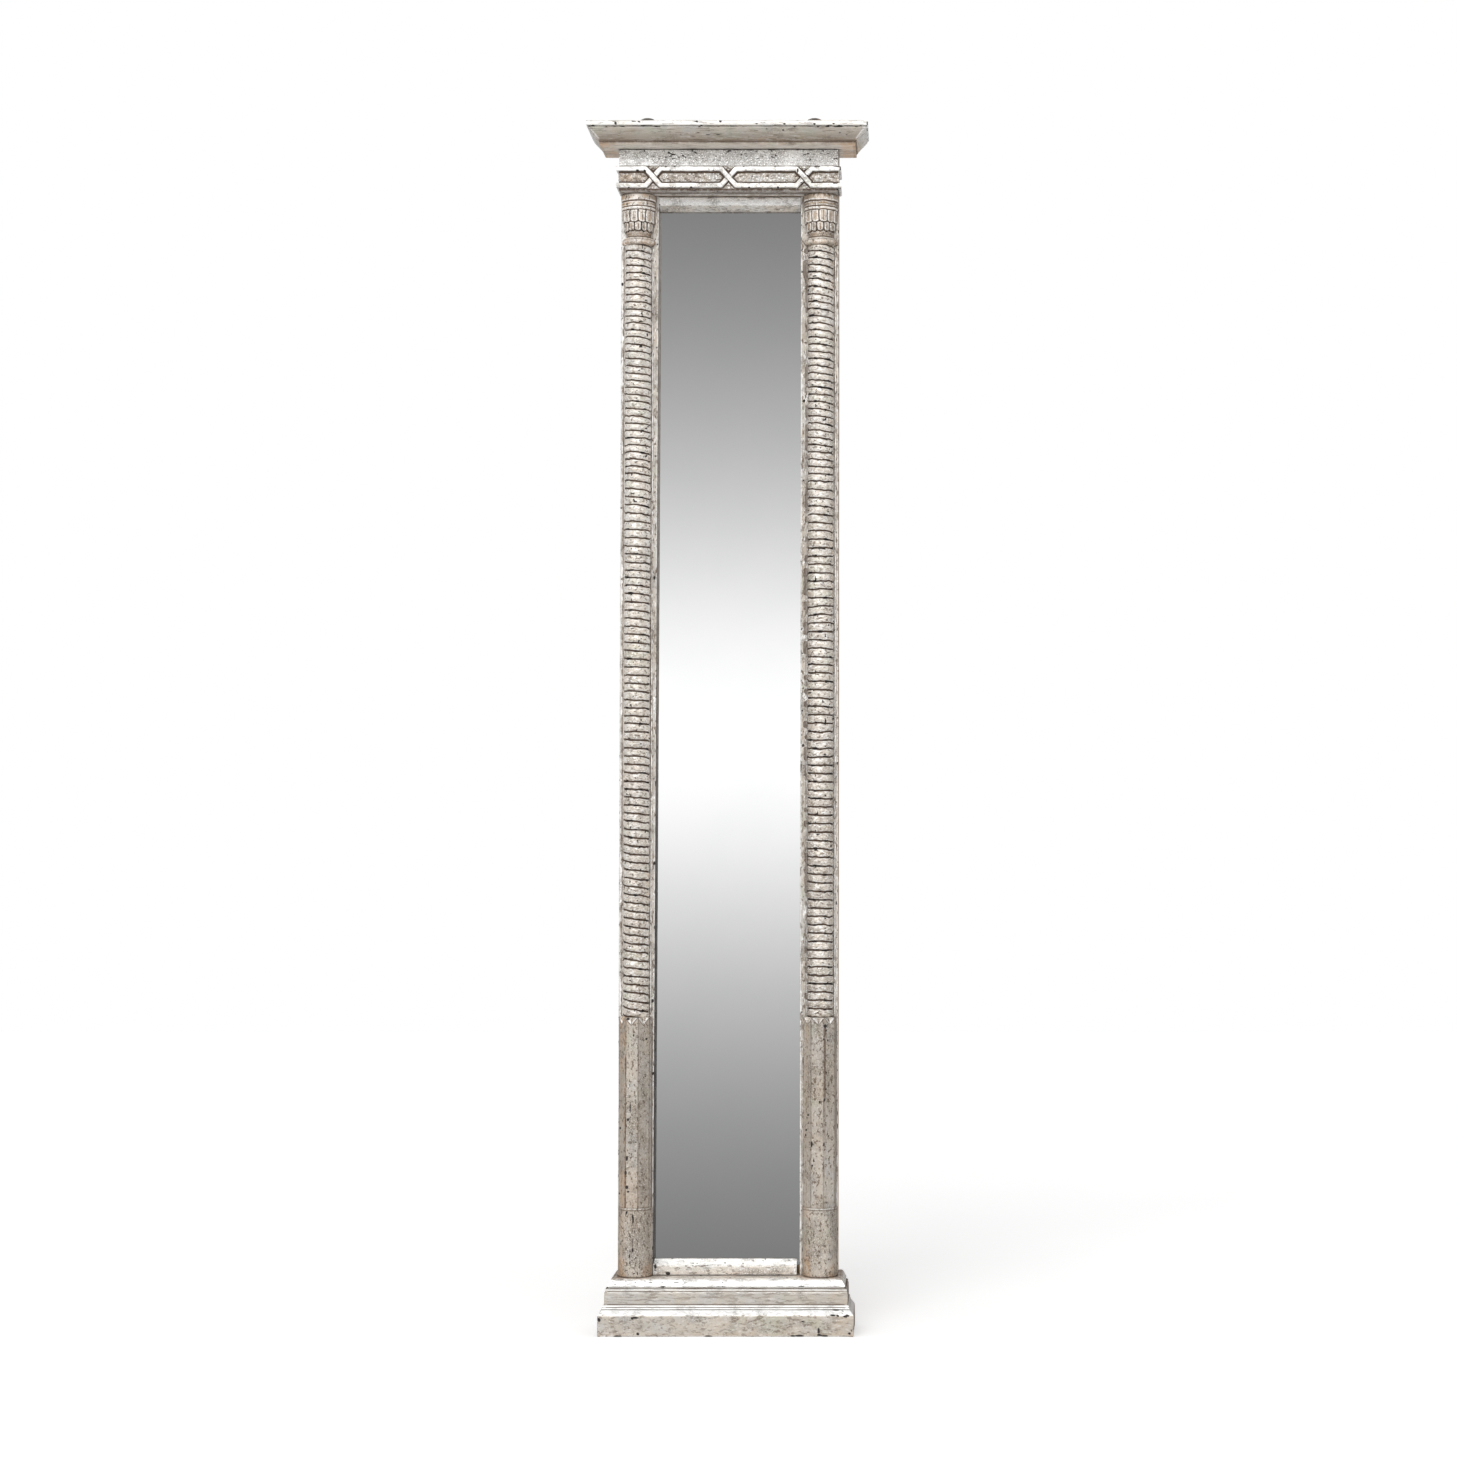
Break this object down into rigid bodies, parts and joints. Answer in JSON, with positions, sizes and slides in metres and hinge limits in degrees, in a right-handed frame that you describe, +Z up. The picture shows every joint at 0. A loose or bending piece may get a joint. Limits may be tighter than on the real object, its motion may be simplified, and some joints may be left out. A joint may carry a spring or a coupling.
{
  "type": "pier mirror",
  "caption": "Tall narrow wall mirror in a silvered frame with rope-carved half columns, strapwork frieze, moulded cornice, stepped plinth and hanging rings.",
  "frame": {"origin": "on the floor, at the middle of the width and half way between the front of the cornice and the back of the ring eyes", "axes": "+X to the viewer's right, +Y from the front towards the wall, +Z up"},
  "size_m": [0.3372, 0.1185, 1.4788],
  "materials": {
    "silver_leaf": "carved wood with worn silver leaf over brown ground, satin",
    "bare_pine": "bare aged softwood, matt",
    "mirror_plate": "silvered plate glass",
    "iron": "dark aged iron, satin",
    "ring_wire": "drawn wire, dulled"
  },
  "bodies": {
    "frame": {"face_stile_left": "silver_leaf", "face_stile_right": "silver_leaf", "lintel_strip": "silver_leaf", "sill_strip": "silver_leaf", "column_foot_left": "silver_leaf", "column_foot_right": "silver_leaf", "column_octagon_left": "silver_leaf", "column_octagon_right": "silver_leaf", "rope_shaft_left": "silver_leaf", "rope_shaft_right": "silver_leaf", "capital_left": "silver_leaf", "capital_right": "silver_leaf", "frieze_front": "silver_leaf", "frieze_left": "silver_leaf", "frieze_right": "silver_leaf", "frieze_soffit": "silver_leaf", "strapwork_front": "silver_leaf", "strapwork_left": "silver_leaf", "strapwork_right": "silver_leaf", "cornice_front": "silver_leaf", "cornice_left": "silver_leaf", "cornice_right": "silver_leaf", "plinth_shelf_front": "silver_leaf", "plinth_shelf_left": "silver_leaf", "plinth_shelf_right": "silver_leaf", "plinth_upper_front": "silver_leaf", "plinth_upper_left": "silver_leaf", "plinth_upper_right": "silver_leaf", "plinth_base_front": "silver_leaf", "plinth_base_left": "silver_leaf", "plinth_base_right": "silver_leaf", "back_stile_left": "bare_pine", "back_stile_right": "bare_pine", "back_rail_top": "bare_pine", "back_rail_bottom": "bare_pine", "frieze_glue_blocks": "bare_pine", "dust_board": "bare_pine", "plinth_glue_blocks": "bare_pine", "glass_blocks": "bare_pine", "backboard_lower": "bare_pine", "backboard_middle": "bare_pine", "backboard_upper": "bare_pine", "backboard_nails": "iron", "frame_screws": "iron", "hanger_strap_left": "iron", "hanger_strap_right": "iron", "hanger_screws": "iron", "mirror_glass": "mirror_plate"},
    "ring_left": {"hanger_ring_left": "ring_wire"},
    "ring_right": {"hanger_ring_right": "ring_wire"}
  },
  "joints": [
    {"name": "ring_left_swing", "type": "hinge", "parent": "frame", "child": "ring_left", "pos_m": [-0.105, 0.05555, 1.4427], "axis": [1, 0, 0], "range_deg": [-178, 17]},
    {"name": "ring_right_swing", "type": "hinge", "parent": "frame", "child": "ring_right", "pos_m": [0.101, 0.05555, 1.4427], "axis": [1, 0, 0], "range_deg": [-178, 17]}
  ]
}
